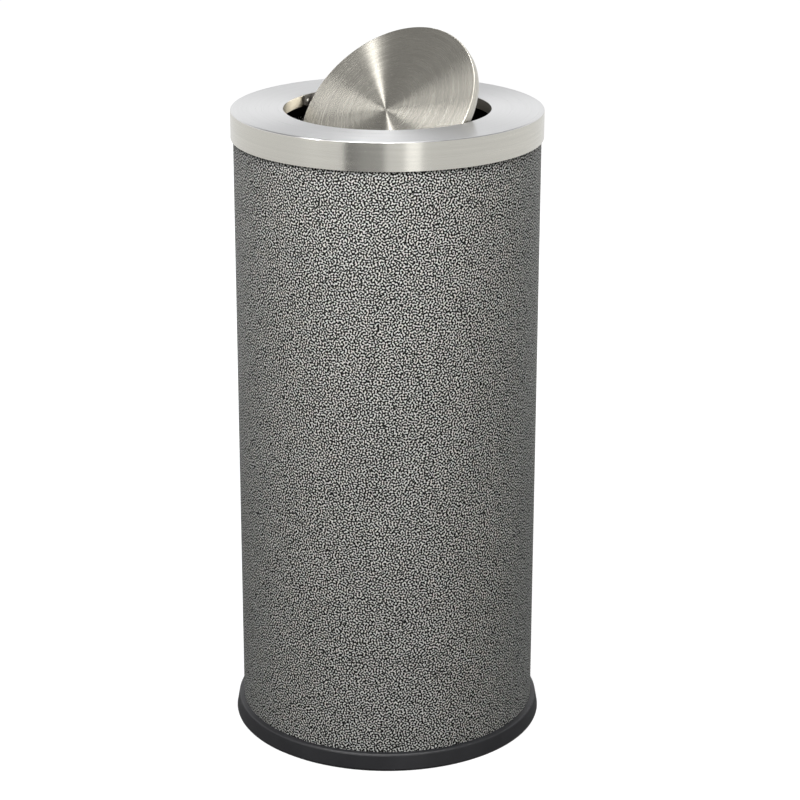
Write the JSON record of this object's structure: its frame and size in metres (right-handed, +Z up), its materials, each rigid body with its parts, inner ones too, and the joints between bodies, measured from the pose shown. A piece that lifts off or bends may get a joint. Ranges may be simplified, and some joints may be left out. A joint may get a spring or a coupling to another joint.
{
  "type": "swing-top trash can",
  "caption": "Free-standing round steel trash can: lift-off stainless cap with a self-righting tilting disc in its opening, lift-out plastic liner and plastic foot ring.",
  "frame": {"origin": "centre of the foot ring's underside, on the floor", "axes": "+Z up along the can's axis; +X along the disc's axle; +Y towards the side of the disc that is raised at rest, which is also the side of the shell's seam"},
  "size_m": [0.3938, 0.3938, 0.8816],
  "materials": {
    "hammered_paint": "silver-vein hammered paint, satin",
    "galvanised_steel": "galvanised, dull",
    "foot_plastic": "satin black",
    "liner_plastic": "black, moulded",
    "cap_steel": "stainless, fine brushed skirt and smooth top",
    "collar_steel": "stainless, polished",
    "disc_steel": "stainless, circular brushed",
    "disc_back_steel": "stainless, plain mill finish",
    "bearing_plastic": "black moulded bearing plastic",
    "hardware": "zinc plated"
  },
  "bodies": {
    "bin_body": {"body_shell": "hammered_paint", "floor_pan": "galvanised_steel", "base_ring": "foot_plastic", "base_ring_screws": "hardware"},
    "liner": {"liner_bucket": "liner_plastic"},
    "cap": {"cap_shell": "cap_steel", "opening_collar": "collar_steel", "locating_ring": "galvanised_steel", "right_pivot_block": "bearing_plastic", "left_pivot_block": "bearing_plastic", "pivot_block_rivets": "hardware"},
    "swing_disc": {"disc_face": "disc_steel", "disc_back": "disc_back_steel", "pivot_rod": "hardware", "rod_straps": "galvanised_steel", "right_spacer": "bearing_plastic", "left_spacer": "bearing_plastic", "right_retaining_clip": "hardware", "left_retaining_clip": "hardware", "balance_weight": "galvanised_steel", "balance_weight_screws": "hardware"}
  },
  "joints": [
    {"name": "liner_lift", "type": "slide", "parent": "bin_body", "child": "liner", "axis": [0, 0, 1], "range_m": [0, 0.78]},
    {"name": "cap_lift", "type": "slide", "parent": "liner", "child": "cap", "axis": [0, 0, 1], "range_m": [0, 0.15]},
    {"name": "disc_swing", "type": "hinge", "parent": "cap", "child": "swing_disc", "pos_m": [0, 0, 0.7906], "axis": [1, 0, 0], "continuous": true}
  ]
}
